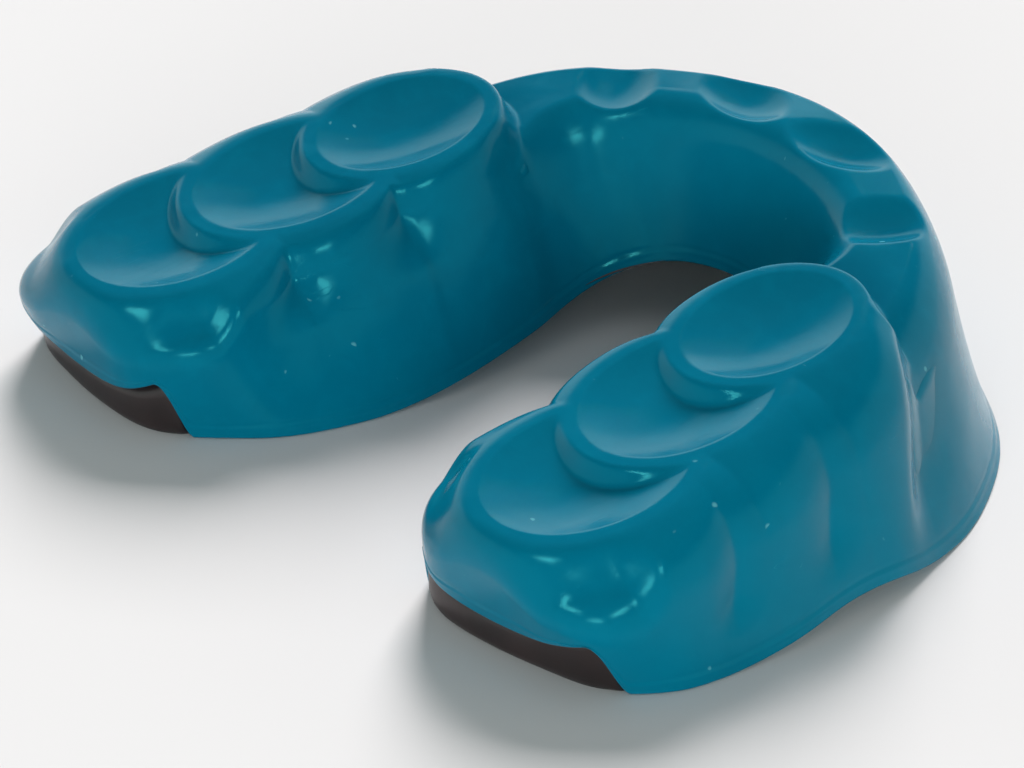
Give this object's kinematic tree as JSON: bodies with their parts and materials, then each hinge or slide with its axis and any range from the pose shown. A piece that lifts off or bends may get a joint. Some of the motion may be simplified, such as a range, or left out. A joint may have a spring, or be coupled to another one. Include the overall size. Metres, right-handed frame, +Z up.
{
  "type": "boxing mouthguard",
  "caption": "Boil-and-bite combat-sports mouthguard: dished coloured bite shell bonded over a black gel liner with a tooth channel",
  "frame": {"origin": "middle of the footprint on the plane the guard lies on, bite face up", "axes": "+Z up through the bite face, +Y toward the front teeth, +X across; the left and right halves mirror in X = 0"},
  "size_m": [0.066, 0.0515, 0.0159],
  "materials": {
    "shell_teal": "glossy moulded gel",
    "liner_black": "satin moulded gel"
  },
  "bodies": {
    "root": {"bite_shell": "shell_teal", "inner_liner": "liner_black"}
  },
  "joints": []
}
